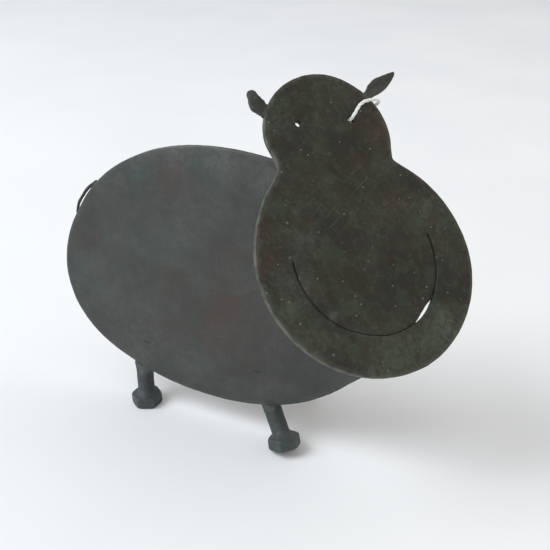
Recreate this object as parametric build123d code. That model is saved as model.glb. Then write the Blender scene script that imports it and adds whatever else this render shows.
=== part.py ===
from build123d import *
from math import cos, hypot, pi, radians, sin, sqrt, tan
import os

# A standing hippopotamus of welded steel plate.
# An oval plate on edge is the body, a figure-eight plate leaning back against its front is
# the head, and four hexagon bolts with their heads on the floor are the legs.
# Millimetres. +X runs from rump to muzzle, +Y from the near face of the body plate to the
# far face, +Z is up. The figure is drawn about the body plate's middle plane, Y = 0, and MIDDLE
# then moves it, so that the origin is on the floor, halfway along the figure and across it.
MIDDLE = (-0.7, 2.5, 0)

# Body plate, an oval standing on edge in the XZ plane
BODY_CENTRE = Vector(-12.1, 0, 73.8)
BODY_LONG = 83.3
BODY_SHORT = 60.8
BODY_TILT = 11.4
PLATE = 2.5

# Head plate: muzzle and cranium are two overlapping discs
HEAD_NORMAL = Vector(0.586, -0.460, 0.667).normalized()
HEAD_CENTRE = Vector(59.7, -13.9, 105.0)
MUZZLE_R = 44.1
CRANIUM_R = 26.4
CRANIUM_AT = (1.3, 50.9)
EYES_AT = {"left": (-9.8, 57.8), "right": (12.8, 56.2)}
EYE_R = 1.2
MOUTH_R = 29.2
MOUTH_AT = (-0.4, 0.6)
MOUTH_SLOT = 0.8
MOUTH_RISE = 9.0
FIT_GAP = 0.05

# Legs: 8 mm hexagon bolts, heads down. The shanks are bent a little where they leave their
# heads, so settle is how much of its shank's lean a head shares.
SHANK_R = 4.0
HEX_FLATS = 13.0
HEX_HEIGHT = 5.3
HEX_CHAMFER = 0.8
SHANK_SINKS = 0.6
FAR_SHANK_SINKS = 4.0
LEGS = {
    "front_near": {"foot": (24.0, -8.3), "top": (12.4, 0.0), "turn": 38, "settle": 0.45},
    "rear_near": {"foot": (-52.8, -3.4), "top": (-55.2, 0.0), "turn": 25, "settle": 0.0},
    "front_far": {"foot": (9.0, 42.0), "top": (6.0, 36.0), "turn": 8, "settle": 0.35},
    "rear_far": {"foot": (-54.0, 42.0), "top": (-51.0, 36.0), "turn": 21, "settle": 0.35},
}

# Ears, leaves cut from thin plate on a short stem
EAR_THICK = 1.8
EAR_STEM = 1.5
EAR_HALF = 2.9
EAR_LEAF_FROM = 0.25
EAR_WIDEST_AT = 0.55
EAR_STEM_NARROWS = 0.8
EAR_LENGTH = {"left": 12.0, "right": 17.5}

# Tail rod and tag string. BEND_SHARE is how much of a run its rounded corner takes.
BEND_SHARE = 0.45
TAIL_R = 0.7
STRING_R = 0.6
KNOT_R = 1.5
KNOT_LENGTH = 3.6

# Weld beads: radius and length
BEAD_CHAMFER = 0.3
WELD_NECK = (3.0, 22.0)
WELD_LEG_R = 5.2
WELD_LEG_HIGH = 5.0
WELD_EAR = (2.3, 5.0)
WELD_TAIL = (1.5, 3.4)


def head_point(side, up, out=0.0):
    """A point given across, up and out from the muzzle centre on the head's front face."""
    return head_plane.from_local_coords((side, up, out))


def body_edge_below(x):
    """Height of the oval's lower edge at x."""
    s, c = sin(radians(BODY_TILT)), cos(radians(BODY_TILT))
    dx = x - BODY_CENTRE.X
    square = (s / BODY_LONG) ** 2 + (c / BODY_SHORT) ** 2
    linear = 2 * dx * s * c * (1 / BODY_LONG**2 - 1 / BODY_SHORT**2)
    constant = dx * dx * ((c / BODY_LONG) ** 2 + (s / BODY_SHORT) ** 2) - 1
    return BODY_CENTRE.Z - (linear + sqrt(linear**2 - 4 * square * constant)) / (2 * square)


def reach_of_body(normal):
    """How far the body plate reaches along a direction, and its outermost point."""
    s, c = sin(radians(BODY_TILT)), cos(radians(BODY_TILT))
    along, across = Vector(c, 0, s), Vector(-s, 0, c)
    a, b = BODY_LONG * normal.dot(along), BODY_SHORT * normal.dot(across)
    point = BODY_CENTRE + (along * (BODY_LONG * a) + across * (BODY_SHORT * b)) / hypot(a, b)
    return point.dot(normal) + abs(normal.Y) * PLATE / 2, point


def rounded_path(points):
    """Straight runs joined by arcs as large as the runs allow, and the arcs' radii."""
    points = [Vector(*p) for p in points]
    radii = []
    for before, here, after in zip(points, points[1:], points[2:]):
        turn = (here - before).get_angle(after - here)
        shorter = min((here - before).length, (after - here).length)
        radii.append(BEND_SHARE * shorter / tan(radians(turn / 2)))
    return FilletPolyline(*points, radius=radii), radii


def tube(points, radius):
    """A round rod or string along a route, and the radii of its bends."""
    path, radii = rounded_path(points)
    section = Plane(origin=path @ 0, z_dir=path % 0) * Circle(radius)
    return sweep(section, path=path), path.length, radii


def bead(centre, radius, length, z_dir=(0, 0, 1)):
    """A roll or disc with broken edges, the plain shape of a weld bead."""
    blank = Cylinder(radius, length)
    ends = blank.edges().filter_by(GeomType.CIRCLE)
    return Plane(origin=centre, z_dir=z_dir) * chamfer(ends, BEAD_CHAMFER * min(length, radius))


def make_body():
    upright = Plane(origin=BODY_CENTRE, x_dir=(1, 0, 0), z_dir=(0, -1, 0))
    outline = upright * Rot(0, 0, BODY_TILT) * Ellipse(BODY_LONG, BODY_SHORT)
    return extrude(outline, amount=PLATE / 2, both=True)


def make_head():
    """The two discs in one plate, with the eye holes and the curved cut of the mouth."""
    outline = Circle(MUZZLE_R) + Pos(*CRANIUM_AT) * Circle(CRANIUM_R)
    for place in EYES_AT.values():
        outline -= Pos(*place) * Circle(EYE_R)
    start, sweep_angle = 180 - MOUTH_RISE, 180 + 2 * MOUTH_RISE
    mouth = Pos(*MOUTH_AT) * CenterArc((0, 0), MOUTH_R, start, sweep_angle)
    cut = trace(mouth, line_width=MOUTH_SLOT)
    plate = extrude(outline - cut, amount=-PLATE)
    return head_plane * plate


def make_bolt(foot, top, turn, settle):
    """A bolt on its hexagon head, which lies nearly flat, with its shank leaning to its top."""
    foot, top = Vector(*foot), Vector(*top)
    lean = (top - foot).normalized()
    upright = Vector(lean.X * settle, lean.Y * settle, lean.Z)
    head = extrude(RegularPolygon(HEX_FLATS / 2, 6, major_radius=False), amount=HEX_HEIGHT)
    corner_r = HEX_FLATS / 2 / cos(radians(30))
    blank = Pos(0, 0, HEX_HEIGHT / 2) * Cylinder(corner_r, HEX_HEIGHT)
    head &= chamfer(blank.edges().filter_by(GeomType.CIRCLE), HEX_CHAMFER)
    head = Plane(origin=foot, x_dir=(1, 0, 0.001), z_dir=upright) * Rot(0, 0, turn) * head
    head = Pos(0, 0, -head.bounding_box().min.Z) * head
    root = head.center()
    length = (top - root).length
    shank = Pos(0, 0, length / 2) * Cylinder(SHANK_R, length)
    return head + Plane(origin=root, z_dir=top - root) * shank


def make_ear(base, tip, across, length):
    """A pointed leaf on a short stem, lying along base to tip."""
    root_low, root_high = (0, -EAR_STEM), (0, EAR_STEM)
    leaf_from, neck = length * EAR_LEAF_FROM, EAR_STEM * EAR_STEM_NARROWS
    widest, point = length * EAR_WIDEST_AT, (length, 0)
    outline = (
        Line(root_low, (leaf_from, -neck))
        + ThreePointArc((leaf_from, -neck), (widest, -EAR_HALF), point)
        + ThreePointArc(point, (widest, EAR_HALF), (leaf_from, neck))
        + Line((leaf_from, neck), root_high)
        + Line(root_high, root_low)
    )
    along = (tip - base).normalized()
    lie = Plane(origin=base, x_dir=along, z_dir=along.cross(across))
    return lie * extrude(make_face(outline), amount=EAR_THICK / 2, both=True)


# The head leans back until its rear face meets the front of the body plate
body_reach, neck_point = reach_of_body(HEAD_NORMAL)
lift = body_reach + PLATE + FIT_GAP - HEAD_CENTRE.dot(HEAD_NORMAL)
head_centre = HEAD_CENTRE + HEAD_NORMAL * lift
head_side = Vector(0, 0, 1).cross(HEAD_NORMAL)
head_plane = Plane(origin=head_centre, x_dir=head_side, z_dir=HEAD_NORMAL)

parts = {"body_plate": make_body(), "head_plate": make_head()}
body, head = parts["body_plate"], parts["head_plate"]

# Legs and their welds. Near legs butt against the plate's lower edge, and far legs lean
# out from its far face.
SPACE = 500
far_face = Pos(0, PLATE / 2 - SPACE / 2, 0) * Box(SPACE, SPACE, SPACE)
for name, leg in LEGS.items():
    far = name.endswith("far")
    x, rise = leg["top"]
    if far:
        top = (x, -FAR_SHANK_SINKS, rise + FAR_SHANK_SINKS)
    else:
        top = (x, rise, body_edge_below(x) + SHANK_SINKS)
    bolt = make_bolt((*leg["foot"], 0), top, leg["turn"], leg["settle"])
    bolt -= far_face if far else body
    joint = Vector(x, PLATE / 2, rise) if far else Vector(x, 0, body_edge_below(x))
    facing = (0, 1, 0) if far else (0, 0, 1)
    weld = bead(joint, WELD_LEG_R, WELD_LEG_HIGH, facing) - bolt
    parts[f"{name}_leg"] = bolt
    parts[f"{name}_leg_weld"] = weld - (far_face if far else body)

# The weld that holds the head: a bead along the line where the two plates meet
neck_line = HEAD_NORMAL.cross(Vector(0, 1, 0)).normalized()
parts["neck_weld"] = bead(neck_point, *WELD_NECK, neck_line) - body - head

# Ears
ear_ends = {
    "left": (head_point(-21.0, 64.6, -1.5), head_point(-25.6, 74.8, -2.0)),
    "right": (head_point(22.8, 65.0, -1.5), head_point(38.8, 73.6, 1.0)),
}
ear_across = {
    "left": head_point(-1.0, 0.4) - head_point(0, 0),
    "right": head_point(-0.5, 1.0) - head_point(0, 0),
}
cranium = head_plane * Pos(*CRANIUM_AT, -PLATE / 2) * Cylinder(CRANIUM_R, PLATE)
for side, (base, tip) in ear_ends.items():
    weld = bead(base, *WELD_EAR, HEAD_NORMAL) - cranium
    parts[f"{side}_ear_weld"] = weld
    parts[f"{side}_ear"] = make_ear(base, tip, ear_across[side], EAR_LENGTH[side]) - cranium - weld

# Tail rod
TAIL_ROUTE = [
    (-73.0, 0.0, 109.9),
    (-77.9, 0.3, 106.7),
    (-82.0, 0.6, 101.6),
    (-85.4, 0.6, 96.8),
    (-86.2, 0.4, 92.2),
]
tail, _, _ = tube(TAIL_ROUTE, TAIL_R)
parts["tail_weld"] = bead(TAIL_ROUTE[0], *WELD_TAIL, (0, 1, 0)) - body
parts["tail"] = tail - body - parts["tail_weld"]

# Tag string: a loop through the right eye, over the head's edge and back to a knot behind.
# Across, up and out from the muzzle centre.
STRING_ROUTE = [
    (17.5, 58.5, -8.0),
    (12.9, 56.4, -4.6),
    (12.8, 56.4, 2.8),
    (18.3, 62.0, 2.7),
    (25.4, 62.3, 2.3),
    (29.2, 62.5, -1.3),
    (26.3, 61.8, -6.4),
    (19.5, 59.6, -8.6),
]
string_points = [head_point(*p) for p in STRING_ROUTE]
string, string_length, string_radii = tube(string_points, STRING_R)
knot_at = (string_points[0] + string_points[-1]) / 2
knot = bead(knot_at, KNOT_R, KNOT_LENGTH, string_points[0] - string_points[-1])
parts["tag_string"] = string - knot
parts["tag_string_knot"] = knot

os.makedirs("parts", exist_ok=True)
for name, solid in parts.items():
    export_step(Pos(*MIDDLE) * solid, f"parts/{name}.step")

section = pi * STRING_R**2
print("head moved", round(lift, 2), "muzzle centre", head_centre, "neck", neck_point)
print("string length", round(string_length, 2), "radii", [round(r, 2) for r in string_radii])
print("string volume / section x length", round(string.volume / section / string_length, 4))
figure = Compound(children=[s for n, s in parts.items() if not n.startswith("tag")])
box = (Pos(*MIDDLE) * figure).bounding_box()
print("box", box.min, box.max)
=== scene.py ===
import math

import bmesh
import bpy
import numpy as np
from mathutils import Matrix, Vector
from mathutils.geometry import delaunay_2d_cdt
from mathutils.noise import noise


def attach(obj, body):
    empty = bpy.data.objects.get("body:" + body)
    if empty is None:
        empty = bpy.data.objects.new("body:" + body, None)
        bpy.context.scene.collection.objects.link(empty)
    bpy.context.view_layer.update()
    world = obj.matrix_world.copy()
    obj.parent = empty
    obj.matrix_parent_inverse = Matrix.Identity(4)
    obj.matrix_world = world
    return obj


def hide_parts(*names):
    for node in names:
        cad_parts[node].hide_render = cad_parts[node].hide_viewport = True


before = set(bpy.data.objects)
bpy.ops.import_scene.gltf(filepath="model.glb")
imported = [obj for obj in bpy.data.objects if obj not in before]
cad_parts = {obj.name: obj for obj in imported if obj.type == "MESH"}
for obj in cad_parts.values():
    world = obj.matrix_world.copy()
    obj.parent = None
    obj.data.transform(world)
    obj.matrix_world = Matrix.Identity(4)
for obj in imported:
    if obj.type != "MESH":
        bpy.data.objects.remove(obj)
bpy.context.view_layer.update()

# ---------------- the figure's main planes
# Shapes are worked out in millimetres about the body plate's middle plane, as the CAD model is,
# and MIDDLE moves them to the frame's origin, in metres.
MM = 0.001
MIDDLE = np.array((-0.7, 2.5, 0.0))
PLATE = 2.5

BODY_CENTRE = (-12.1, 73.8)
BODY_LONG = 83.3
BODY_SHORT = 60.8
BODY_TILT = math.radians(11.4)

HEAD_NORMAL = Vector((0.586, -0.460, 0.667)).normalized()
HEAD_SIDE = Vector((0, 0, 1)).cross(HEAD_NORMAL).normalized()
HEAD_UP = HEAD_NORMAL.cross(HEAD_SIDE)
HEAD_CENTRE = Vector((60.3803, -14.434, 105.774))
HEAD_AXES = np.array([HEAD_SIDE, HEAD_UP, HEAD_NORMAL])
MUZZLE_R = 44.1
CRANIUM_R = 26.4
CRANIUM_AT = (1.3, 50.9)
EYES_AT = ((-9.8, 57.8), (12.8, 56.2))
EYE_R = 1.2
MOUTH_R = 29.2
MOUTH_AT = (-0.4, 0.6)
MOUTH_RISE = 9.0
NECK_AT = (53.4273, 0.0, 117.153)

SHANK_R = 4.0
HEX_FLATS = 13.0
HEX_HIGH = 5.3
HEX_CHAMFER = 0.8
LEGS = {
    "front_near": {"foot": (24.0, -8.3), "top": (12.4, 0.0), "turn": 38, "settle": 0.45},
    "rear_near": {"foot": (-52.8, -3.4), "top": (-55.2, 0.0), "turn": 25, "settle": 0.0},
    "front_far": {"foot": (9.0, 42.0), "top": (6.0, 36.0), "turn": 8, "settle": 0.35},
    "rear_far": {"foot": (-54.0, 42.0), "top": (-51.0, 36.0), "turn": 21, "settle": 0.35},
}


def to_frame(points):
    """Points in the drawing's millimetres, in the frame's metres."""
    return (np.asarray(points, float) + MIDDLE) * MM


def on_head(side, up, out=0.0):
    """A point given across, up and out from the muzzle centre, in the drawing's millimetres."""
    return np.array(HEAD_CENTRE) + np.array((side, up, out)) @ HEAD_AXES


def ripple(points, size, seed=0.0):
    """Smooth noise, from about -1 to 1, at each point, with bumps of about that size."""
    shift = Vector((seed * 3.17, seed * 1.71, seed * 2.39))
    return np.array([noise(Vector(p) / size + shift) for p in np.asarray(points, float).tolist()])


def with_depth(points, depth=0.0):
    """Flat points with a third coordinate: one depth for them all, or a depth for each."""
    return np.column_stack([points, np.full(len(points), depth)])


def unit(directions):
    """A direction, or each row of them, with a length of 1."""
    return directions / np.linalg.norm(directions, axis=-1, keepdims=True)


# ---------------- camera
# the sensor and the lens are in millimetres, and so is the camera's place
SENSOR = 36.0
LENS = SENSOR * 17 / 11
CAMERA_AT = (152.9, -284.9, 244.2)
CAMERA_TURN = math.radians(25.84)
CAMERA_PITCH = math.radians(27.0)


def make_camera():
    """A camera on the near side, turned left of straight ahead and looking down."""
    data = bpy.data.cameras.new("camera")
    data.sensor_width = SENSOR
    data.lens = LENS
    data.clip_start = 0.01
    data.clip_end = 20
    camera = bpy.data.objects.new("camera", data)
    bpy.context.scene.collection.objects.link(camera)
    camera.location = to_frame(CAMERA_AT)
    level = math.cos(CAMERA_PITCH)
    left = math.sin(CAMERA_TURN) * level
    ahead = math.cos(CAMERA_TURN) * level
    look = Vector((-left, ahead, -math.sin(CAMERA_PITCH)))
    camera.rotation_mode = "QUATERNION"
    camera.rotation_quaternion = look.to_track_quat("-Z", "Y")
    bpy.context.scene.camera = camera


make_camera()


# ---------------- shader helpers
class Shader:
    """One procedural material, built node by node."""

    def __init__(self, name):
        self.material = bpy.data.materials.new(name)
        self.material.use_nodes = True
        self.tree = self.material.node_tree
        self.surface = self.tree.nodes["Principled BSDF"]
        self.here = self.node("ShaderNodeTexCoord").outputs["Object"]

    def node(self, kind, inputs=None, **settings):
        """A node with its inputs linked or set, by socket, and its settings."""
        made = self.tree.nodes.new(kind)
        for key, value in settings.items():
            setattr(made, key, value)
        for socket, value in (inputs or {}).items():
            if isinstance(value, bpy.types.NodeSocket):
                self.tree.links.new(value, made.inputs[socket])
            else:
                made.inputs[socket].default_value = value
        return made

    def noise(self, size, detail=3.0, rough=0.55, at=None, twist=0.0):
        """Noise with features of about that size, in millimetres."""
        inputs = {
            "Vector": at or self.here,
            "Scale": 1 / (size * MM),
            "Detail": detail,
            "Roughness": rough,
            "Distortion": twist,
        }
        return self.node("ShaderNodeTexNoise", inputs).outputs["Fac"]

    def span(self, value, low, high, first=0.0, last=1.0):
        """The value from low to high, eased onto first to last and held beyond them."""
        inputs = {0: value, 1: low, 2: high, 3: first, 4: last}
        made = self.node("ShaderNodeMapRange", inputs, interpolation_type="SMOOTHSTEP")
        return made.outputs[0]

    def calc(self, operation, a, b):
        """One step of arithmetic on two values."""
        return self.node("ShaderNodeMath", {0: a, 1: b}, operation=operation).outputs[0]

    def times(self, a, b):
        return self.calc("MULTIPLY", a, b)

    def mix(self, amount, a, b):
        """Colour a with an amount of colour b over it."""
        return self.node("ShaderNodeMix", {0: amount, 6: a, 7: b}, data_type="RGBA").outputs[2]

    def turned(self, axes, stretch):
        """The place along three axes of the drawing, each divided by its stretch."""
        parts = []
        for axis, by in zip(axes, stretch):
            inputs = {0: self.here, 1: tuple(np.array(axis) / by)}
            parts.append(self.node("ShaderNodeVectorMath", inputs, operation="DOT_PRODUCT"))
        joined = {i: part.outputs["Value"] for i, part in enumerate(parts)}
        return self.node("ShaderNodeCombineXYZ", joined).outputs[0]

    def patch(self, centre, radius, at):
        """1 in the middle of a soft patch, fading to 0 a little beyond its radius in millimetres."""
        inputs = {0: at, 1: tuple(to_frame(centre))}
        away = self.node("ShaderNodeVectorMath", inputs, operation="DISTANCE")
        return self.span(away.outputs["Value"], radius * MM * 1.15, radius * MM * 0.15)

    def wandering(self, size, by):
        """The place, pushed about by noise, so that what is drawn from it has ragged edges."""
        inputs = {"Vector": self.here, "Scale": 1 / (size * MM), "Detail": 3.0}
        push = self.node("ShaderNodeTexNoise", inputs).outputs["Color"]
        middle = self.node("ShaderNodeVectorMath", {0: push, 1: (0.5,) * 3}, operation="SUBTRACT")
        inputs = {0: middle.outputs[0], 3: by * MM}
        scaled = self.node("ShaderNodeVectorMath", inputs, operation="SCALE")
        inputs = {0: self.here, 1: scaled.outputs[0]}
        return self.node("ShaderNodeVectorMath", inputs, operation="ADD").outputs[0]

    def finish(self, colour, rough, bump=None, strength=0.3, depth=0.1):
        """The material, with its colour, roughness and any bumps, of a depth in millimetres."""
        self.tree.links.new(colour, self.surface.inputs["Base Color"])
        self.tree.links.new(rough, self.surface.inputs["Roughness"])
        if bump is not None:
            inputs = {"Strength": strength, "Distance": depth * MM, "Height": bump}
            made = self.node("ShaderNodeBump", inputs)
            self.tree.links.new(made.outputs["Normal"], self.surface.inputs["Normal"])
        return self.material


# The pale tint gives real bloom and scratches, and on the body also painted highlight and reflection;
# the dark tint gives real pits, and on the body also a painted shade patch.
BODY_TINTS = {
    "green": (0.048, 0.076, 0.065, 1),
    "pale": (0.105, 0.110, 0.100, 1),
    "brown": (0.050, 0.038, 0.028, 1),
    "red": (0.072, 0.045, 0.040, 1),
    "dark": (0.026, 0.027, 0.026, 1),
    "worn": (0.105, 0.110, 0.103, 1),
}
HEAD_TINTS = {
    "green": (0.033, 0.046, 0.028, 1),
    "pale": (0.082, 0.088, 0.072, 1),
    "brown": (0.025, 0.0185, 0.0115, 1),
    "red": (0.044, 0.022, 0.012, 1),
    "dark": (0.009, 0.009, 0.008, 1),
    "worn": (0.125, 0.130, 0.105, 1),
}
# how far the marks are stretched across, out of and up the plate, or along and square to their slant
RUN_STRETCH = (1.1, 1.1, 15)
SCRATCH_STRETCH = (20, 3, 0.55)
SCRATCH_LEAN = (0.85, 0.53)
# how far apart the specks and the pits are, in millimetres
SPECK_CELL = 2.5
PIT_CELL = 6.3
WORLD_AXES = ((1, 0, 0), (0, 1, 0), (0, 0, 1))


def clouded(s, clouds, fine, base, light, dark):
    """The metal's own colour: wide clouds from dark to light, broken up by finer ones."""
    colour = s.mix(s.span(clouds, 0.36, 0.64), dark, light)
    colour = s.mix(s.span(fine, 0.38, 0.62, 0.0, 0.75), colour, base)
    return s.mix(s.span(fine, 0.46, 0.30, 0.0, 0.7), colour, dark)


def mottled(s, colour, tints, amount):
    """The colour with green and brown mottling all over it."""
    coat = s.noise(7.5, 6.0, 0.66, twist=0.5)
    colour = s.mix(s.span(coat, 0.50, 0.62, 0.0, 0.6 * amount), colour, tints["green"])
    return s.mix(s.span(coat, 0.48, 0.36, 0.0, 0.7 * amount), colour, tints["brown"])


def patched(s, colour, tints, patches, ragged, blotch):
    """The colour with the placed patches over it, each broken into blotches."""
    broken = s.span(blotch, 0.40, 0.56, 0.22, 1.0)
    for centre, radius, tint, amount in patches:
        spread = s.times(s.patch(centre, radius, ragged), broken)
        colour = s.mix(s.times(spread, amount), colour, tints[tint])
    return colour


def bloomed(s, colour, pale, clouds, blotch, amount):
    """The colour with a pale bloom here and there."""
    bloom = s.times(s.span(blotch, 0.53, 0.68), s.span(clouds, 0.38, 0.56, 0.15, 1.0))
    return s.mix(s.times(bloom, 0.55 * amount), colour, pale)


def streaked(s, colour, light, dark, axes):
    """The colour with run marks down the plate."""
    runs = s.noise(1.0, 3.0, 0.7, at=s.turned(axes, RUN_STRETCH))
    colour = s.mix(s.span(runs, 0.54, 0.80, 0.0, 0.40), colour, light)
    return s.mix(s.span(runs, 0.46, 0.22, 0.0, 0.45), colour, dark)


def scratched(s, colour, pale, axes, rubbed, ragged):
    """The colour with slanting scratches, thickest on the rubbed spots."""
    across, out, up = (np.array(axis) for axis in axes)
    most, least = SCRATCH_LEAN
    slant = (across * most + up * least, out, up * most - across * least)
    scratches = s.noise(1.0, 2.0, 0.5, at=s.turned(slant, SCRATCH_STRETCH))
    where = s.span(s.noise(28, 2.0), 0.58, 0.68, 0.0, 0.25)
    for centre, radius in rubbed:
        where = s.calc("MAXIMUM", where, s.patch(centre, radius, ragged))
    shown = s.times(s.span(scratches, 0.58, 0.72), where)
    return s.mix(s.times(shown, 0.62), colour, pale)


def pale_specks(s, fine):
    """1 on small round specks of many sizes, in about half of the cells."""
    cells = {"Vector": s.here, "Scale": 1 / (SPECK_CELL * MM), "Randomness": 1.0}
    dots = s.node("ShaderNodeTexVoronoi", cells)
    chosen = s.node("ShaderNodeSeparateColor", {0: dots.outputs["Color"]}).outputs[0]
    reach = s.span(chosen, 0.5, 1.0, 0.02, 0.21)
    inside = s.calc("SUBTRACT", reach, dots.outputs["Distance"])
    specks = s.times(s.span(inside, 0.0, 0.07), s.span(chosen, 0.46, 0.50))
    return s.times(specks, s.span(fine, 0.35, 0.55, 0.25, 1.0))


def dark_pits(s):
    """1 in the middle of small round pits."""
    cells = s.node("ShaderNodeTexVoronoi", {"Vector": s.here, "Scale": 1 / (PIT_CELL * MM)})
    return s.span(cells.outputs["Distance"], 0.13, 0.07)


def bare_rims(s, colour, worn):
    """The colour with worn metal showing where a piece's points say that it is a rim."""
    rim = s.node("ShaderNodeAttribute", attribute_name="rim").outputs["Fac"]
    bare = s.times(rim, s.span(s.noise(5, 5.0, 0.7), 0.36, 0.60, 0.25, 1.0))
    return s.mix(s.times(bare, 0.8), colour, worn)


def relief(s, blotch, grain, pits, specks):
    """The height of the surface: blotches and grain, with the pits down and the specks up."""
    bump = s.calc("ADD", s.times(blotch, 0.7), s.times(grain, 0.12))
    bump = s.calc("SUBTRACT", bump, s.times(pits, 0.4))
    return s.calc("ADD", bump, s.times(specks, 0.15))


def patina_and_painted_light(
    name, base, light, dark, tints, specks, mottle=0.6, patches=(), rubbed=(), axes=WORLD_AXES, shine=0.3
):
    """Blackened steel: soft clouds, placed patches (on the body some are painted light and shade), runs,
    scratches, specks and rubbed rims.
    """
    s = Shader(name)
    clouds = s.noise(22, 5.0, 0.62)
    fine = s.noise(3.4, 6.0, 0.72, twist=0.6)
    grain = s.noise(0.8, 3.0, 0.6)
    blotch = s.noise(2.6, 6.0, 0.75, twist=0.8)
    ragged = s.wandering(8, 12)
    colour = clouded(s, clouds, fine, base, light, dark)
    colour = mottled(s, colour, tints, mottle)
    colour = patched(s, colour, tints, patches, ragged, blotch)
    colour = bloomed(s, colour, tints["pale"], clouds, blotch, mottle)
    colour = streaked(s, colour, light, dark, axes)
    colour = scratched(s, colour, tints["pale"], axes, rubbed, ragged)
    speckled = pale_specks(s, fine)
    pitted = dark_pits(s)
    colour = s.mix(s.times(speckled, specks), colour, tints["worn"])
    colour = s.mix(s.times(pitted, 0.6 * specks), colour, tints["dark"])
    colour = bare_rims(s, colour, tints["worn"])
    rough = s.calc("ADD", s.span(fine, 0.3, 0.7, 0.44, 0.60), s.times(grain, 0.08))
    s.surface.inputs["Specular IOR Level"].default_value = shine
    return s.finish(colour, rough, relief(s, blotch, grain, pitted, speckled), 0.30, 0.15)


def body_spot(x, z):
    """A point on the near face of the body plate."""
    return (x, -PLATE / 2, z)


# patches of colour: the place, the radius, the tint and how strong it is; on the body some are painted
# light and shade
body_patches = [
    (body_spot(-50, 119), 12, "green", 0.75),
    (body_spot(-60, 111), 8, "pale", 0.25),
    (body_spot(-15, 125), 13, "green", 0.70),
    (body_spot(-45, 84), 17, "green", 0.35),
    (body_spot(-24, 84), 13, "green", 0.35),
    (body_spot(-85, 60), 12, "green", 0.55),
    (body_spot(-84, 80), 12, "brown", 0.55),
    (body_spot(-33, 118), 13, "red", 0.55),
    (body_spot(-9, 60), 14, "red", 0.80),
    (body_spot(-15, 45), 12, "red", 0.65),
    (body_spot(-36, 68), 11, "brown", 0.60),
    (body_spot(-6, 88), 12, "red", 0.35),
    (body_spot(-38, 45), 12, "red", 0.35),
    # painted reflection: these two pale patches light the lower left of the body, where its face
    # reflects the pale floor
    (body_spot(-28, 26), 14, "pale", 0.30),
    (body_spot(-55, 36), 20, "pale", 0.28),
    (body_spot(-22, 33), 9, "green", 0.45),
    # painted highlight along the top edge: this pale patch lightens the top of the body
    (body_spot(14, 126), 5, "pale", 0.60),
    # painted shade: this dark patch darkens the body towards the head, which shades it and is reflected
    # in it; the wide brown patch after it is partly brown patina and partly more of that painted shade
    (body_spot(25, 46), 24, "dark", 0.40),
    (body_spot(-4, 58), 46, "brown", 0.42),
    # painted highlight: these pale patches along the top edge light the top of the flat body plate as if
    # it caught light from above
    (body_spot(-50, 128), 10, "pale", 0.45),
    (body_spot(-30, 132), 13, "pale", 0.60),
    (body_spot(-8, 131), 13, "pale", 0.60),
    (body_spot(10, 126), 12, "pale", 0.50),
]
head_patches = [
    (on_head(-38, 24), 8, "red", 0.65),
    (on_head(-41, 9), 7, "red", 0.75),
    (on_head(20, 20), 9, "red", 0.45),
    (on_head(22, 52), 10, "red", 0.45),
    (on_head(8, 37), 7, "red", 0.40),
    (on_head(-10, -6), 12, "brown", 0.50),
    (on_head(-24, -7), 9, "brown", 0.45),
    (on_head(-37, -11), 8, "green", 0.95),
    (on_head(-31, -22), 9, "green", 0.55),
    (on_head(-12, -14), 7, "green", 0.75),
    (on_head(-19, -17), 4, "pale", 0.50),
    (on_head(-6, -39), 13, "green", 0.70),
    (on_head(10, -37), 12, "green", 0.75),
    (on_head(23, -30), 11, "green", 1.00),
    (on_head(22, -31), 6, "pale", 0.45),
    (on_head(27, 15), 8, "green", 0.70),
    (on_head(32, 16), 4, "pale", 0.45),
    (on_head(38, 9), 7, "green", 0.60),
    (on_head(-24, 13), 10, "pale", 0.28),
    (on_head(20, 33), 9, "green", 0.50),
    (on_head(-19, 66), 10, "green", 0.60),
    (on_head(-20, 57), 8, "pale", 0.25),
    (on_head(6, 70), 10, "green", 0.30),
    (on_head(8, 22), 9, "green", 0.40),
    (on_head(-33, -4), 12, "pale", 0.30),
    (on_head(-30, -26), 12, "pale", 0.22),
    (on_head(0, -38), 18, "pale", 0.25),
    (on_head(20, -33), 12, "pale", 0.28),
]

# rubbed spots: the place and the radius
body_rubs = [(body_spot(0, 72), 8), (body_spot(-17, 48), 7), (body_spot(6, 122), 9)]
head_rubs = [(on_head(-11, 22), 12), (on_head(6, 31), 10), (on_head(-6, 10), 6)]
head_axes = (tuple(HEAD_SIDE), tuple(HEAD_NORMAL), tuple(HEAD_UP))
# The body and the head are one blackened steel: the body's tones, about three times lighter than the
# head's, are painted reflection of the pale floor in the body's upright face.
body_steel = patina_and_painted_light(
    "body_steel",
    (0.053, 0.055, 0.051, 1),
    (0.067, 0.071, 0.066, 1),
    (0.039, 0.040, 0.039, 1),
    BODY_TINTS,
    specks=0.35,
    mottle=0.35,
    patches=body_patches,
    rubbed=body_rubs,
    shine=0.34,
)
head_steel = patina_and_painted_light(
    "head_steel",
    (0.0175, 0.0180, 0.0120, 1),
    (0.031, 0.032, 0.0225, 1),
    (0.0110, 0.0105, 0.0068, 1),
    HEAD_TINTS,
    specks=0.9,
    mottle=0.8,
    patches=head_patches,
    rubbed=head_rubs,
    axes=head_axes,
    shine=0.26,
)
small_steel = patina_and_painted_light(
    "small_steel",
    (0.032, 0.034, 0.029, 1),
    (0.050, 0.054, 0.047, 1),
    (0.019, 0.020, 0.017, 1),
    HEAD_TINTS,
    specks=0.4,
)
bolt_steel = patina_and_painted_light(
    "bolt_steel",
    (0.044, 0.051, 0.051, 1),
    (0.064, 0.074, 0.074, 1),
    (0.024, 0.027, 0.026, 1),
    BODY_TINTS,
    specks=0.3,
)
weld_steel = patina_and_painted_light(
    "weld_steel",
    (0.044, 0.047, 0.045, 1),
    (0.060, 0.064, 0.061, 1),
    (0.026, 0.028, 0.027, 1),
    BODY_TINTS,
    specks=0.3,
)


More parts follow.
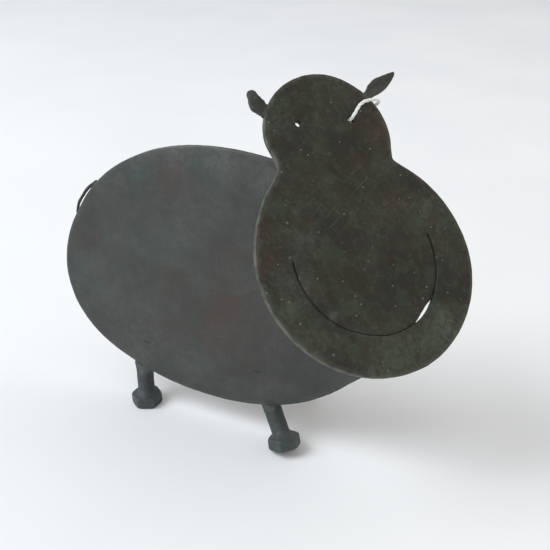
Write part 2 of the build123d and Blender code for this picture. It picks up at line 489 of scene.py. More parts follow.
def cotton():
    s = Shader("cotton_string")
    fibre = s.noise(0.25, 4.0, 0.7)
    shade = s.mix(s.span(fibre, 0.3, 0.7), (0.66, 0.66, 0.63, 1), (0.90, 0.90, 0.88, 1))
    s.surface.inputs["Sheen Weight"].default_value = 0.3
    s.surface.inputs["Specular IOR Level"].default_value = 0.2
    return s.finish(shade, s.span(fibre, 0.2, 0.8, 0.75, 0.95), fibre, 0.5, 0.08)


string_white = cotton()


# ---------------- mesh helpers
def make_piece(name, verts, faces, material, slot, node, rim=None):
    """A smooth mesh object from points in the drawing's millimetres, in a CAD node's place.
    The rim says how worn each point is, from 0 to 1."""
    mesh = bpy.data.meshes.new(name)
    mesh.from_pydata(to_frame(verts).tolist(), [], [tuple(f) for f in faces])
    work = bmesh.new()
    work.from_mesh(mesh)
    bmesh.ops.recalc_face_normals(work, faces=work.faces)
    for face in work.faces:
        face.smooth = True
    work.to_mesh(mesh)
    work.free()
    weights = np.zeros(len(verts)) if rim is None else np.asarray(rim, float)
    layer = mesh.attributes.new("rim", "FLOAT", "POINT")
    layer.data.foreach_set("value", weights.astype(np.float32))
    mesh.materials.append(material)
    piece = bpy.data.objects.new(name, mesh)
    bpy.context.scene.collection.objects.link(piece)
    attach(piece, "root")
    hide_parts(node)
    return piece


def inset(loop, distance):
    """A closed loop moved to its left by a distance, or by one for each of its points."""
    along = unit(np.roll(loop, -1, 0) - np.roll(loop, 1, 0))
    return loop + np.reshape(distance, (-1, 1)) * np.stack([-along[:, 1], along[:, 0]], 1)


def within(points, loops):
    """Whether each point is inside an odd number of the loops: in an outline but not in a hole."""
    odd = np.zeros(len(points), bool)
    x, y = points[:, :1], points[:, 1:]
    for loop in loops:
        a, b = loop, np.roll(loop, -1, 0)
        spans = (a[:, 1] > y) != (b[:, 1] > y)
        rise = np.where(b[:, 1] == a[:, 1], 1.0, b[:, 1] - a[:, 1])
        crosses = a[:, 0] + (y - a[:, 1]) * (b[:, 0] - a[:, 0]) / rise
        odd ^= (spans & (x < crosses)).sum(1) % 2 == 1
    return odd


NOTCH = 0.10  # how far a cut edge wanders
ROW_STEP = math.sqrt(3) / 2
FACE_WEAR = 0.45
EDGE_WEAR = 0.9


def face_mesh(loops, spacing):
    """Points and triangles, evenly spaced, inside an outline and outside its holes. The loops'
    own points come first."""
    rims = np.concatenate(loops)
    low, high = rims.min(0), rims.max(0)
    rows = np.arange(low[1], high[1], spacing * ROW_STEP)
    columns = np.arange(low[0], high[0], spacing)
    grid = np.array([(x + k % 2 * spacing / 2, y) for k, y in enumerate(rows) for x in columns])
    grid = grid[within(grid, loops)]
    grid = grid[[np.min(np.hypot(*(rims - p).T)) > 0.6 * spacing for p in grid]]
    points = np.concatenate([rims, grid])
    edges = []
    start = 0
    for loop in loops:
        n = len(loop)
        edges += [(start + i, start + (i + 1) % n) for i in range(n)]
        start += n
    found = delaunay_2d_cdt([Vector(p) for p in points], edges, [], 0, 1e-6)
    source = [origin[0] for origin in found[3]]
    triangles = np.array([[source[i] for i in face] for face in found[2]])
    triangles = triangles[within(points[triangles].mean(1), loops)]
    first, second, third = (points[triangles[:, k]] for k in range(3))
    clockwise = np.cross(second - first, third - first) < 0
    triangles[clockwise] = triangles[clockwise][:, ::-1]
    return points, triangles


def edge_steps(edge):
    """How far in, and how deep, each ring round a plate's edge is, with rounded corners."""
    bends = [math.radians(a) for a in (25, 50, 75, 90)]
    corner = [(edge * (1 - math.sin(a)), edge * (1 - math.cos(a))) for a in bends]
    flat = [(0, PLATE * 0.38), (0, PLATE * 0.64)]
    return corner + flat + [(inward, PLATE - deep) for inward, deep in reversed(corner)]


def band(first, second):
    """Faces that join two rings, given by their points' numbers."""
    n = len(first)
    return [(first[i], second[i], second[(i + 1) % n], first[(i + 1) % n]) for i in range(n)]


def sheet_metal(loops, spacing, edge, lift):
    """A plate from an outline and its holes: both faces meshed alike, with rounded, cut edges.
    The outline runs counter-clockwise and the holes clockwise, so metal is on a loop's left.
    Lift places flat points at their depths below the front face."""
    points, triangles = face_mesh([inset(loop, edge) for loop in loops], spacing)
    count = len(points)
    verts = [lift(points, np.zeros(count)), lift(points, np.full(count, PLATE))]
    faces = triangles.tolist() + (triangles[:, ::-1] + count).tolist()
    near = np.where(np.arange(count) < len(loops[0]), FACE_WEAR, 0.0)
    rim = [near, near]
    start = 0
    total = 2 * count
    for number, loop in enumerate(loops):
        n = len(loop)
        wear = EDGE_WEAR if number == 0 else 0.0
        # a small hole's edge wanders less
        notch = 0.6 * NOTCH * min(1, n / 60)
        along = ripple(with_depth(loop), 1.7, 5.0)
        lead = list(range(start, start + n))
        for inward, deep in edge_steps(edge):
            cut = notch * (along + ripple(with_depth(loop, deep), 2.6, 9.0))
            verts.append(lift(inset(loop, inward + cut), np.full(n, deep)))
            rim.append(np.full(n, wear))
            hoop = list(range(total, total + n))
            faces += band(lead, hoop)
            lead = hoop
            total += n
        faces += band(lead, list(range(count + start, count + start + n)))
        start += n
    return np.concatenate(verts), faces, np.concatenate(rim)


def loft(rows):
    """A closed skin through rings of points, with a fan of triangles over each end."""
    rows = np.asarray(rows, float)
    n, m = rows.shape[:2]
    faces = []
    for i in range(n - 1):
        for j in range(m):
            k = (j + 1) % m
            faces.append((i * m + j, i * m + k, (i + 1) * m + k, (i + 1) * m + j))
    verts = np.concatenate([rows.reshape(-1, 3), [rows[0].mean(0), rows[-1].mean(0)]])
    faces += [(n * m, (j + 1) % m, j) for j in range(m)]
    last = (n - 1) * m
    faces += [(n * m + 1, last + j, last + (j + 1) % m) for j in range(m)]
    return verts, faces


def smooth_rows(rows, count):
    """More rows between given ones, on a smooth curve through them all."""
    rows = np.asarray(rows, float)
    padded = np.concatenate([[2 * rows[0] - rows[1]], rows, [2 * rows[-1] - rows[-2]]])
    result = []
    for t in np.linspace(0, len(rows) - 1 - 1e-9, count):
        k, f = int(t), t - int(t)
        a, b, c, d = padded[k : k + 4]
        bend = (2 * a - 5 * b + 4 * c - d) * f**2 + (3 * b - a - 3 * c + d) * f**3
        result.append(0.5 * (2 * b + (c - a) * f + bend))
    return np.array(result)


ASKEW = (0.31, 0.17, 0.93)  # a direction that no line starts in


def path_frames(path):
    """Two directions square to a path at each of its points, carried along it without twist."""
    along = unit(np.gradient(path, axis=0))
    side = np.cross(along[0], ASKEW)
    sides = []
    for direction in along:
        side = unit(side - direction * side.dot(direction))
        sides.append(side)
    sides = np.array(sides)
    return sides, np.cross(along, sides)


def rod(path, radii, around):
    """Rings along a path, with a radius for each point of it."""
    sides, ups = path_frames(path)
    angles = np.linspace(0, 2 * math.pi, around, endpoint=False)[None, :, None]
    circles = np.cos(angles) * sides[:, None] + np.sin(angles) * ups[:, None]
    return path[:, None] + circles * np.asarray(radii, float)[:, None, None]


def roughened(rows, size, amount, seed):
    """The rows with each point pushed in or out from its ring's middle by smooth noise."""
    middle = rows.mean(1, keepdims=True)
    out = rows - middle
    out /= np.maximum(np.linalg.norm(out, axis=2, keepdims=True), 1e-6)
    push = ripple(rows.reshape(-1, 3), size, seed).reshape(rows.shape[:2] + (1,))
    return rows + out * push * amount


# ---------------- body plate
BODY_POINTS = 620
BODY_BULGES = [  # bearing and spread in degrees, and how far the edge is out there
    (155, 9, -0.5),
    (238, 12, -0.5),
    (329, 5, 0.9),
]


def body_outline():
    """The oval, cut by hand: it swells and narrows a little four times on its way round, except
    behind the head."""
    angles = np.linspace(0, 2 * math.pi, BODY_POINTS, endpoint=False)
    along = BODY_LONG * np.cos(angles)
    across = BODY_SHORT * np.sin(angles)
    c, s = math.cos(BODY_TILT), math.sin(BODY_TILT)
    loop = np.stack([along * c - across * s, along * s + across * c], 1) + BODY_CENTRE
    bearing = np.degrees(angles + BODY_TILT) % 360
    free = np.interp(bearing, (50, 72, 318, 335), (0, 1, 1, 0))
    swell = free * np.cos(np.radians(4 * (bearing - 120)))
    for at, spread, out in BODY_BULGES:
        swell += out * np.exp(-(((bearing - at) / spread) ** 2))
    return inset(loop, 0.12 * ripple(with_depth(loop), 9, 2.0) - swell)


def body_surface(points, depth):
    """Where the body plate's flat points are, at a depth from its near face. It is a little wavy."""
    bend = 0.45 * ripple(with_depth(points), 46, 3.0) + 0.12 * ripple(with_depth(points), 14, 4.0)
    dent = 0.05 * ripple(with_depth(points, depth), 4.5, 6.0)
    y = -PLATE / 2 + depth + bend + dent
    return np.column_stack([points[:, 0], y, points[:, 1]])


def make_body():
    verts, faces, rim = sheet_metal([body_outline()], 1.9, 0.4, body_surface)
    make_piece("worn_body_plate", verts, faces, body_steel, "body_steel", "body_plate", rim)


# ---------------- head plate
HEAD_STRAYS = [  # where the cut left the two circles: the spot, the way it went, over what length
    ((-21.9, 38.3), (-1.2, 2.6), 5.0),
    ((-30.0, 32.3), (-0.7, 0.8), 8.0),
    ((-25.6, 45.8), (1.2, -0.2), 4.5),
    ((23.8, 37.1), (0.9, 0.2), 3.5),
    ((8.0, 76.5), (0.1, 0.4), 10.0),
    ((41.0, -10.0), (0.3, 0.0), 14.0),
    ((9.0, -43.0), (0.1, -0.3), 10.0),
]
HEAD_SMOOTHINGS = 6
MOUTH_CUT = [  # bearing in degrees from the mouth's centre, and how wide the saw cut is there
    (171, 0.55),
    (200, 0.8),
    (250, 0.8),
    (262, 0.5),
    (272, 0.02),
    (292, 0.02),
    (296, 0.55),
    (302, 1.25),
    (308, 1.4),
    (312, 1.0),
    (316, 0.35),
    (322, 0.35),
    (330, 0.5),
    (347, 0.8),
    (369, 0.5),
]
MOUTH_CUT_HALF = 0.4
TONGUE_TOP = 4.6
TONGUE_SPRUNG = 1.6
PUNCH_AT = (-1.2, 50.9)
PUNCH_DEEP = 0.35
PUNCH_R = 0.9


def arc(centre, radius, first, last, count):
    """Points along an arc, from one bearing in degrees to another."""
    turn = np.radians(np.linspace(first, last, count))
    return np.stack([centre[0] + radius * np.cos(turn), centre[1] + radius * np.sin(turn)], 1)


def head_outline():
    """The two discs' circles as one line, which strays from them here and there."""
    apart = math.hypot(*CRANIUM_AT)
    lean = math.degrees(math.atan2(CRANIUM_AT[1], CRANIUM_AT[0]))
    reach = (apart**2 + MUZZLE_R**2 - CRANIUM_R**2) / (2 * apart)
    muzzle_half = math.degrees(math.acos(reach / MUZZLE_R))
    cranium_half = math.degrees(math.acos((apart - reach) / CRANIUM_R))
    top = arc(CRANIUM_AT, CRANIUM_R, lean - 180 + cranium_half, lean + 180 - cranium_half, 170)
    low = arc((0, 0), MUZZLE_R, lean + muzzle_half, lean + 360 - muzzle_half, 330)
    outline = np.concatenate([top, low[1:-1]])
    for spot, shift, size in HEAD_STRAYS:
        near = np.exp(-(((outline - spot) ** 2).sum(1)) / size**2)
        outline = outline + near[:, None] * shift
    for _ in range(HEAD_SMOOTHINGS):
        outline = (np.roll(outline, 1, 0) + 2 * outline + np.roll(outline, -1, 0)) / 4
    place = with_depth(outline)
    return inset(outline, 0.10 * ripple(place, 21, 11.0) + 0.06 * ripple(place, 5, 12.0))


def eye_hole(centre, seed):
    """A drilled hole, a little out of round."""
    hole = arc(centre, EYE_R, 360, 0, 33)[:-1]
    return hole + 0.12 * ripple(with_depth(hole), 1.5, seed)[:, None]


def mouth_width(bearing):
    at, width = zip(*MOUTH_CUT)
    return np.interp(bearing, at, width)


def mouth_outer(bearing):
    """How far the cut's outer side is from its centre. It strays out where the cut is widest."""
    return MOUTH_R + MOUTH_CUT_HALF + 0.55 * np.exp(-(((bearing - 303) / 13) ** 2))


def cut_end(a, b):
    """Points that round off the cut's end, from a to b."""
    centre = (a + b) / 2
    half = (b - a) / 2
    square = np.array((half[1], -half[0]))
    turn = np.radians((45, 90, 135))[:, None]
    return centre - half * np.cos(turn) + square * np.sin(turn)


def mouth_cut():
    """The saw cut of the mouth, clockwise. It is pinched at the bottom right, opens to its widest
    beyond that, and is narrower again on the way up."""
    bearings = np.linspace(180 - MOUTH_RISE, 360 + MOUTH_RISE, 150)
    directions = np.stack([np.cos(np.radians(bearings)), np.sin(np.radians(bearings))], 1)
    reach = mouth_outer(bearings)
    outer = MOUTH_AT + reach[:, None] * directions
    inner = MOUTH_AT + (reach - mouth_width(bearings))[:, None] * directions
    inner = inner[::-1]
    loop = [outer, cut_end(outer[-1], inner[0]), inner, cut_end(inner[-1], outer[0])]
    return np.concatenate(loop)[::-1]


def tongue_sprung(points):
    """How far back the metal inside the mouth's cut has sprung, most of all at its lower right."""
    off = points - MOUTH_AT
    bearing = np.degrees(np.arctan2(off[:, 1], off[:, 0])) % 360
    bearing = np.where(bearing < 90, bearing + 360, bearing)
    middle = mouth_outer(bearing) - mouth_width(bearing) / 2
    tongue = (np.hypot(*off.T) < middle) & (off[:, 1] < TONGUE_TOP)
    down = np.clip((TONGUE_TOP - off[:, 1]) / (TONGUE_TOP + MOUTH_R), 0, 1)
    return tongue * TONGUE_SPRUNG * down**1.4 * (0.55 + 0.45 * off[:, 0] / MOUTH_R)


def head_surface(points, depth):
    """Where the head plate's flat points are, at a depth from its front, with its waves, its
    sprung tongue and the punch mark in the middle of the cranium."""
    bend = 0.38 * ripple(with_depth(points), 40, 13.0) + 0.10 * ripple(with_depth(points), 13, 14.0)
    dent = 0.06 * ripple(with_depth(points, depth), 4.0, 15.0)
    punch = PUNCH_DEEP * np.exp(-(np.hypot(*(points - PUNCH_AT).T) / PUNCH_R) ** 2)
    out = -depth + bend + dent - tongue_sprung(points) - punch * (depth < 0.5)
    return np.array(HEAD_CENTRE) + np.column_stack([points, out]) @ HEAD_AXES


def make_head():
    eyes = [eye_hole(centre, 20.0 + number) for number, centre in enumerate(EYES_AT)]
    loops = [head_outline(), *eyes, mouth_cut()]
    verts, faces, rim = sheet_metal(loops, 1.6, 0.35, head_surface)
    make_piece("worn_head_plate", verts, faces, head_steel, "head_steel", "head_plate", rim)


make_body()
make_head()


# ---------------- ears
EAR_ROWS = {  # across, up, out, half width, half thickness, twist in degrees
    "left": [
        (-17.6, 64.6, -1.3, 2.0, 1.1, 0),
        (-20.0, 65.2, -1.3, 2.2, 1.15, 5),
        (-22.2, 66.2, -1.2, 2.7, 1.2, 12),
        (-23.5, 68.0, -1.1, 3.0, 1.25, 20),
        (-23.9, 70.0, -1.1, 2.5, 1.3, 26),
        (-24.2, 71.8, -1.2, 2.1, 1.2, 30),
        (-24.6, 73.4, -1.4, 1.6, 0.95, 30),
        (-24.8, 74.3, -1.5, 0.6, 0.45, 30),
    ],
    "right": [
        (20.8, 63.8, -1.6, 1.8, 1.15, 0),
        (23.0, 65.0, -1.6, 1.75, 1.1, 4),
        (25.4, 66.4, -1.4, 2.0, 1.0, 10),
        (27.6, 67.7, -1.1, 2.9, 0.95, 16),
        (30.2, 69.0, -0.7, 3.2, 0.9, 18),
        (32.8, 70.2, -0.2, 2.8, 0.85, 16),
        (35.2, 71.3, 0.3, 2.0, 0.75, 12),
        (37.3, 72.5, 0.7, 1.05, 0.6, 8),
        (38.4, 73.2, 0.9, 0.35, 0.3, 6),
    ],
}


def make_ear(side, fold, crumple, seed):
    """A leaf of plate along its rows, folded along its middle and dented by the hammer."""
    table = smooth_rows(EAR_ROWS[side], 46)
    centre = np.array([on_head(*row[:3]) for row in table])
    along = unit(np.gradient(centre, axis=0))
    angles = np.linspace(0, 2 * math.pi, 36, endpoint=False)
    u = np.sign(np.cos(angles)) * np.abs(np.cos(angles)) ** 0.75
    v = np.sign(np.sin(angles)) * np.abs(np.sin(angles)) ** 0.6
    rows = []
    for point, direction, (half, thick, twist) in zip(centre, along, table[:, 3:]):
        across = unit(np.cross(direction, HEAD_AXES[2]))
        face = np.cross(across, direction)
        turn = math.radians(twist)
        wide = across * math.cos(turn) + face * math.sin(turn)
        deep = face * math.cos(turn) - across * math.sin(turn)
        bent = v * thick + fold * half * (np.abs(u) - 0.4)
        rows.append(point + np.outer(u * half, wide) + np.outer(bent, deep))
    rows = roughened(np.array(rows), 2.4, crumple, seed)
    verts, faces = loft(roughened(rows, 0.9, crumple * 0.3, seed + 1))
    edge = np.abs(np.cos(angles)) ** 3
    rim = np.concatenate([np.tile(edge * 0.5, len(rows)), [0.5, 0.5]])
    make_piece(f"hammered_{side}_ear", verts, faces, small_steel, "small_steel", f"{side}_ear", rim)


make_ear("left", 0.10, 0.38, 31.0)
make_ear("right", 0.22, 0.20, 34.0)


# ---------------- weld beads
NECK_BACK = 1.0  # how far the bead's middle is behind the line where the two plates meet


def make_bead(name, points, radius, node, seed, pitch=1.3):
    """A run of weld metal along its points, ridged where the puddle cooled in steps."""
    length = sum(np.linalg.norm(np.subtract(b, a)) for a, b in zip(points, points[1:]))
    count = max(24, int(length / 0.28))
    path = smooth_rows(points, count)
    t = np.linspace(0, 1, count)
    ends = np.sqrt(np.clip(1 - np.abs(2 * t - 1) ** 5, 0.02, 1))
    steps = 1 + 0.07 * np.abs(np.sin(math.pi * t * length / pitch))
    rows = rod(path, radius * ends * steps, 28)
    verts, faces = loft(roughened(rows, 1.6, 0.14 * radius, seed))
    make_piece(name, verts, faces, weld_steel, "weld", node)


neck_line = unit(np.cross(HEAD_AXES[2], (0, 1, 0)))
neck_middle = NECK_AT - NECK_BACK * HEAD_AXES[2]
neck = [neck_middle + neck_line * along for along in (-10.8, -5.4, 0, 5.4, 10.8)]
make_bead("neck_bead", neck, 2.4, "neck_weld", 40.0)
left_root = [on_head(-19.6, 67.2, -1.6), on_head(-20.9, 64.9, -1.5), on_head(-21.9, 62.4, -1.6)]
make_bead("left_ear_bead", left_root, 1.5, "left_ear_weld", 42.0, pitch=1.0)
right_root = [on_head(20.9, 67.0, -1.6), on_head(22.4, 65.2, -1.5), on_head(23.8, 63.0, -1.6)]
make_bead("right_ear_bead", right_root, 1.45, "right_ear_weld", 44.0, pitch=1.0)
tail_root = [(-72.2, 0.0, 109.6), (-73.2, 0.0, 109.1), (-74.2, 0.1, 108.6)]
make_bead("tail_bead", tail_root, 0.95, "tail_weld", 46.0, pitch=0.8)


# ---------------- bolts
HEX_POWER = 34
HEX_BLEND = 9
# where the rings up a bolt's head are: close together towards its worn top
HEX_HEIGHTS = (0, 0.06, 0.16, 0.3, 0.5, 0.8, 1.4, 2.2, 3.0, 3.8, 4.3, 4.6, 4.85, 5.03, 5.15, 5.24, 5.3)
WASHER_FACE = ((0.03, 5.8), (0.14, 5.5), (0.18, 4.8))  # height above the hexagon, and radius
BOLT_AROUND = 96
SHANK_STARTS = 1.1  # how far above the bolt's head its rings start
FAR_SHANK_SINKS = 4.0
FAR_SHANK_IN_PLATE = 0.3
NEAR_SHANK_SINKS = 0.6
NEAR_SHANK_STOPS = 5.1  # how far it stops before its target, inside the collar
EDGE_SLOPES = {"front": 0.06, "rear": -0.22}
COLLAR_STARTS = 5.5  # how far down the shank from its top
COLLAR_WIDE = 5.6
COLLAR_SPREAD = 1.9


def body_edge_below(x):
    """Height of the oval's lower edge at x."""
    s, c = math.sin(BODY_TILT), math.cos(BODY_TILT)
    dx = x - BODY_CENTRE[0]
    square = (s / BODY_LONG) ** 2 + (c / BODY_SHORT) ** 2
    linear = 2 * dx * s * c * (1 / BODY_LONG**2 - 1 / BODY_SHORT**2)
    constant = dx * dx * ((c / BODY_LONG) ** 2 + (s / BODY_SHORT) ** 2) - 1
    return BODY_CENTRE[1] - (linear + math.sqrt(linear**2 - 4 * square * constant)) / (2 * square)


def hex_radius(angles):
    """A hexagon's reach in each direction, its corners a little rounded."""
    slabs = sum(np.abs(np.cos(angles - k * math.pi / 3)) ** HEX_POWER for k in range(3))
    return HEX_FLATS / 2 / slabs ** (1 / HEX_POWER)


def square_to(axis):
    """Two directions square to an axis, the first of them near +X."""
    level = unit(np.array((1.0, 0, 0)) - axis * axis[0])
    return level, np.cross(axis, level)


def ring(centre, directions, angles, reach):
    """Points round a centre at a reach, which may differ from angle to angle."""
    level, cross = directions
    flat = np.cos(angles)[:, None] * level + np.sin(angles)[:, None] * cross
    return centre + flat * np.reshape(reach, (-1, 1))


def bolt_head_rings(six):
    """Heights up a bolt's head and the reach at each: the hexagon, cut back at both its ends by
    the cone of the chamfer, and the washer face above it."""
    corner = HEX_FLATS / 2 / math.cos(math.pi / 6)
    rings = [(0.0, six * 0.5)]
    for height in HEX_HEIGHTS:
        to_end = min(height, HEX_HIGH - height)
        cone = corner - HEX_CHAMFER * max(0.0, 1 - to_end / HEX_CHAMFER)
        worn = 0.16 * max(0.0, 1 - to_end / 0.25) ** 2
        reach = -np.log(np.exp(-HEX_BLEND * six) + np.exp(-HEX_BLEND * cone)) / HEX_BLEND
        rings.append((height, reach - worn))
    return rings + [(HEX_HIGH + above, radius) for above, radius in WASHER_FACE]


def shank_rows(root, axis, end, angles):
    """Rings up a bolt's shank, spreading a little where it leaves the head."""
    first = HEX_HIGH / 2 + SHANK_STARTS
    rows = []
    for along in np.linspace(first, end, 28):
        reach = SHANK_R + 0.35 * max(0.0, 1 - (along - first) / 0.9) ** 2
        rows.append(ring(root + axis * along, square_to(axis), angles, reach))
    return rows


def far_collar(end, inner):
    """The collar's last place and oval on the body plate's far face, and those that close it."""
    turns = np.linspace(0, 2 * math.pi, len(inner), endpoint=False)
    oval = np.stack([COLLAR_WIDE * np.cos(turns), 0 * turns, 6.6 * np.sin(turns)], 1)
    quarter = len(inner) // 4
    if np.dot(oval[quarter], inner[quarter]) < 0:
        oval[:, 2] *= -1
    high = np.array((end[0], PLATE / 2 - 0.2, end[2] - 0.3))
    return high, oval, high + (0, -0.5, 0), oval * 0.86


def near_collar(x, slope, inner):
    """The same on the body plate's lower edge, which slopes there."""
    turns = np.linspace(0, 2 * math.pi, len(inner), endpoint=False)
    wide = COLLAR_WIDE * np.cos(turns)
    oval = np.stack([wide, 1.4 * np.sin(turns), slope * wide], 1)
    high = np.array((x, 0.0, body_edge_below(x) + 0.5))
    return high, oval, high + (0, 0, 0.5), oval * (0.94, 0.8, 0.94)


def make_collar(name, root, axis, length, x, seed):
    """Weld that spreads from a ring round a bolt's shank to an oval on the plate."""
    turns = np.linspace(0, 2 * math.pi, 48, endpoint=False)
    low = root + axis * (length - COLLAR_STARTS)
    inner = ring(np.zeros(3), square_to(axis), turns, SHANK_R + 0.02)
    if name.endswith("far"):
        high, oval, cap, cap_oval = far_collar(root + axis * length, inner)
    else:
        slope = EDGE_SLOPES[name.split("_")[0]]
        high, oval, cap, cap_oval = near_collar(x, slope, inner)
    rows = []
    for t in np.linspace(0, 1, 22):
        spread = t**COLLAR_SPREAD
        rows.append(low + (high - low) * t + inner * (1 - spread) + oval * spread)
    rows.append(cap + cap_oval)
    rows = roughened(np.array(rows), 2.2, 0.2, seed)
    rows[0] = low + inner * 0.985
    verts, faces = loft(roughened(rows, 0.9, 0.07, seed + 1))
    make_piece(f"{name}_collar", verts, faces, weld_steel, "weld", f"{name}_leg_weld")


def make_leg(name, foot, top, turn, settle, seed):
    """A bolt on its hexagon head, leaning to where its top joins the body, and its collar of weld.
    The head stands straighter than the shank leans, by how far it settled."""
    far = name.endswith("far")
    x, rise = top
    start = np.array((*foot, 0.0))
    if far:
        target = np.array((x, -FAR_SHANK_SINKS, rise + FAR_SHANK_SINKS))
    else:
        target = np.array((x, rise, body_edge_below(x) + NEAR_SHANK_SINKS))
    upright = unit(unit(target - start) * (settle, settle, 1))
    angles = np.linspace(0, 2 * math.pi, BOLT_AROUND, endpoint=False)
    six = hex_radius(angles - math.radians(turn) - math.pi / 6)
    rows = []
    for height, reach in bolt_head_rings(six):
        rows.append(ring(start + upright * height, square_to(upright), angles, reach))
    sink = np.array((0, 0, min(row[:, 2].min() for row in rows)))
    rows = [row - sink for row in rows]
    root = start + upright * HEX_HIGH / 2 - sink
    axis = unit(target - root)
    if far:
        length = (root[1] - PLATE / 2 + FAR_SHANK_IN_PLATE) / -axis[1]
        shank_end = length
    else:
        length = np.linalg.norm(target - root)
        shank_end = length - NEAR_SHANK_STOPS
    rows += shank_rows(root, axis, shank_end, angles)
    rows = roughened(np.array(rows), 3.0, 0.12, seed)
    rows[:, :, 2] = np.maximum(rows[:, :, 2], 0.0)
    verts, faces = loft(rows)
    worn = np.zeros((len(rows), BOLT_AROUND))
    worn[1 : len(HEX_HEIGHTS) + 1] = ((six - six.min()) / (six.max() - six.min())) ** 4 * 0.8
    rim = np.concatenate([worn.ravel(), [0, 0]])
    make_piece(f"{name}_bolt", verts, faces, bolt_steel, "bolt_steel", f"{name}_leg", rim)
    make_collar(name, root, axis, length, x, seed + 1)


for number, (leg_name, leg) in enumerate(LEGS.items()):
    make_leg(leg_name, **leg, seed=50.0 + 3 * number)


# ---------------- lines from given points, and the tail
def spline_points(points, name):
    """Points along the smooth NURBS line that has these control points, in the drawing's mm."""
    curve = bpy.data.curves.new(name, "CURVE")
    curve.dimensions = "3D"
    curve.resolution_u = 24
    line = curve.splines.new("NURBS")
    line.points.add(len(points) - 1)
    for spot, place in zip(line.points, to_frame(points)):
        spot.co = (*place, 1)
    line.order_u = 3
    line.use_endpoint_u = True
    holder = bpy.data.objects.new(name, curve)
    bpy.context.scene.collection.objects.link(holder)
    mesh = bpy.data.meshes.new_from_object(holder)
    path = np.array([v.co for v in mesh.vertices]) / MM - MIDDLE
    bpy.data.objects.remove(holder)
    bpy.data.meshes.remove(mesh)
    return path


def even_steps(path, count):
    """The path again, with that many points evenly along it."""
    gone = np.concatenate([[0], np.cumsum(np.linalg.norm(np.diff(path, axis=0), axis=1))])
    steps = np.linspace(0, gone[-1], count)
    return np.stack([np.interp(steps, gone, path[:, k]) for k in range(3)], 1)


TAIL_ROUTE = [
    (-73.0, 0.0, 109.9),
    (-77.9, 0.3, 106.7),
    (-82.0, 0.6, 101.6),
    (-85.4, 0.6, 96.8),
    (-86.2, 0.4, 92.2),
]
TAIL_STEPS = 70


def make_tail():
    """A thin rod that tapers to its end."""
    path = even_steps(spline_points(TAIL_ROUTE, "tail_line"), TAIL_STEPS)
    taper = np.interp(np.linspace(0, 1, TAIL_STEPS), (0, 0.7, 0.97, 1), (0.78, 0.70, 0.55, 0.25))
    verts, faces = loft(roughened(rod(path, taper, 18), 2.0, 0.10, 70.0))
    rim = np.full(len(verts), 0.15)
    make_piece("tail_rod", verts, faces, small_steel, "small_steel", "tail", rim)


make_tail()


# ---------------- tag string
STRING_ROUTE = [  # across, up and out from the muzzle centre
    (17.5, 58.5, -8.0),
    (12.9, 56.4, -4.6),
    (12.8, 56.4, 2.8),
    (18.3, 62.0, 2.7),
    (25.4, 62.3, 2.3),
    (29.2, 62.5, -1.3),
    (26.3, 61.8, -6.4),
    (19.5, 59.6, -8.6),
]
KNOT_TURNS = 2.6
KNOT_LONG = 2.3
KNOT_R = 0.82
KNOT_THROUGH = [  # along, beside and above the knot, for this and the two short tails
    (-1.3, 0.9, 0),
    (-0.4, 1.3, 0.3),
    (0.6, 1.25, -0.1),
    (1.4, 0.6, 0),
]
KNOT_TAILS = [
    [(0.3, 0.1, 0.2), (0.9, -0.5, -1.2), (1.3, -0.9, -2.8), (2.1, -0.7, -4.0)],
    [(-0.5, 0.2, 0.2), (-1.0, 0.5, -1.4), (-1.1, 1.1, -2.6), (-2.0, 1.0, -3.5)],
]


def joined(skins):
    """Several closed skins as one list of points and one of faces."""
    verts, faces = [], []
    for skin_verts, skin_faces in skins:
        shift = sum(len(v) for v in verts)
        verts.append(skin_verts)
        faces += [tuple(i + shift for i in face) for face in skin_faces]
    return np.concatenate(verts), faces


def twisted(path, strands, radius, lay, seed):
    """Strands wound round a path, with one turn in each lay, narrower at their very ends."""
    sides, ups = path_frames(path)
    gone = np.concatenate([[0], np.cumsum(np.linalg.norm(np.diff(path, axis=0), axis=1))])
    ends = np.clip(np.minimum(gone, gone[-1] - gone) / 0.3, 0.3, 1)
    skins = []
    for k in range(strands):
        turn = 2 * math.pi * (gone / lay + k / strands)
        off = (np.cos(turn)[:, None] * sides + np.sin(turn)[:, None] * ups) * radius * 0.92
        rows = rod(path + off, radius * ends, 12)
        skins.append(loft(roughened(rows, 0.6, radius * 0.16, seed + k)))
    return joined(skins)


def knot_frame():
    """The knot's middle and its directions: along it, beside it and above it."""
    first, last = on_head(*STRING_ROUTE[0]), on_head(*STRING_ROUTE[-1])
    axis = unit(first - last)
    side = unit(np.cross(axis, HEAD_AXES[1]))
    return (first + last) / 2, np.array([axis, side, np.cross(axis, side)])


def knot_line(points, count):
    """A smooth line through the knot from points along, beside and above it."""
    middle, directions = knot_frame()
    return even_steps(spline_points(middle + np.array(points) @ directions, "knot_line"), count)


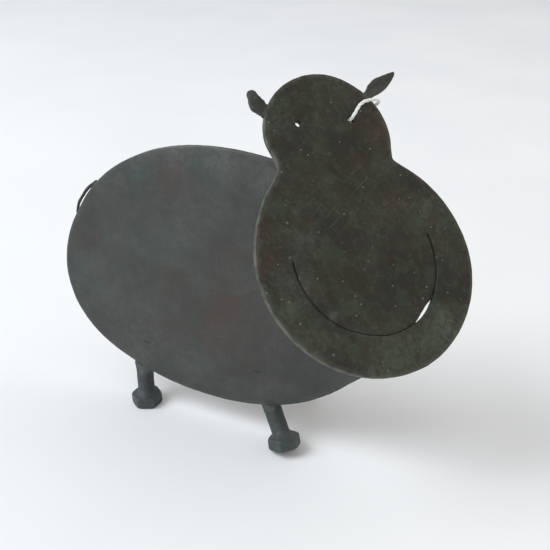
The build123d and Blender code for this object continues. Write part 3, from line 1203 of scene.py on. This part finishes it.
def make_knot():
    """Turns round both ends of the string, a turn through them, and two short tails."""
    middle, directions = knot_frame()
    t = np.linspace(0, 1, 90)
    turn = 2 * math.pi * KNOT_TURNS * t
    wraps = [KNOT_LONG / 2 - KNOT_LONG * t, KNOT_R * np.cos(turn), KNOT_R * np.sin(turn)]
    skins = [
        twisted(middle + np.stack(wraps, 1) @ directions, 2, 0.28, 3.0, 90.0),
        twisted(knot_line(KNOT_THROUGH, 40), 2, 0.3, 3.0, 92.0),
    ]
    for number, tail in enumerate(KNOT_TAILS):
        skins.append(twisted(knot_line(tail, 50), 2, 0.3, 3.2, 94.0 + 2 * number))
    verts, faces = joined(skins)
    return make_piece("tag_string_tie", verts, faces, string_white, "string", "tag_string_knot")


string_route = [on_head(*place) for place in STRING_ROUTE]
string_path = even_steps(spline_points(string_route, "string_line"), 330)
string_skin = twisted(string_path, 3, 0.36, 7.5, 80.0)
string_piece = make_piece("tag_string_twist", *string_skin, string_white, "string", "tag_string")
knot_piece = make_knot()


# ---------------- floor and light
FLOOR_HALF = 4.0
LIGHTS_AIM = (0, 0, 0.07)


def make_floor():
    """Matt white paper, very faintly cloudy."""
    s = Shader("paper_floor")
    cloudy = s.noise(160, 2.0)
    shade = s.mix(s.span(cloudy, 0.3, 0.7), (0.80, 0.81, 0.82, 1), (0.83, 0.835, 0.84, 1))
    s.surface.inputs["Specular IOR Level"].default_value = 0.2
    s.finish(shade, s.span(cloudy, 0.3, 0.7, 0.7, 0.8))
    mesh = bpy.data.meshes.new("floor")
    corners = [(x * FLOOR_HALF, y * FLOOR_HALF, 0) for x, y in ((-1, -1), (1, -1), (1, 1), (-1, 1))]
    mesh.from_pydata(corners, [], [(0, 1, 2, 3)])
    floor = bpy.data.objects.new("floor", mesh)
    bpy.context.scene.collection.objects.link(floor)
    mesh.materials.append(s.material)


def make_light(name, place, size, energy, colour):
    """A square soft light, its place in metres, aimed at the middle of the figure."""
    data = bpy.data.lights.new(name, "AREA")
    data.energy = energy
    data.size = size
    data.color = colour
    light = bpy.data.objects.new(name, data)
    light.location = place
    light.rotation_mode = "QUATERNION"
    light.rotation_quaternion = (Vector(LIGHTS_AIM) - light.location).to_track_quat("-Z", "Y")
    bpy.context.scene.collection.objects.link(light)


make_floor()
make_light("window", (-1.3, -1.0, 1.7), 1.5, 43, (0.89, 0.955, 1.0))
make_light("fill", (1.3, 0.3, 1.2), 1.6, 6, (1.0, 0.80, 0.58))

world = bpy.data.worlds.new("studio")
bpy.context.scene.world = world
world.use_nodes = True
background = world.node_tree.nodes["Background"]
background.inputs["Color"].default_value = (0.96, 0.975, 1.0, 1)
background.inputs["Strength"].default_value = 0.635
bpy.context.scene.view_settings.view_transform = "Standard"
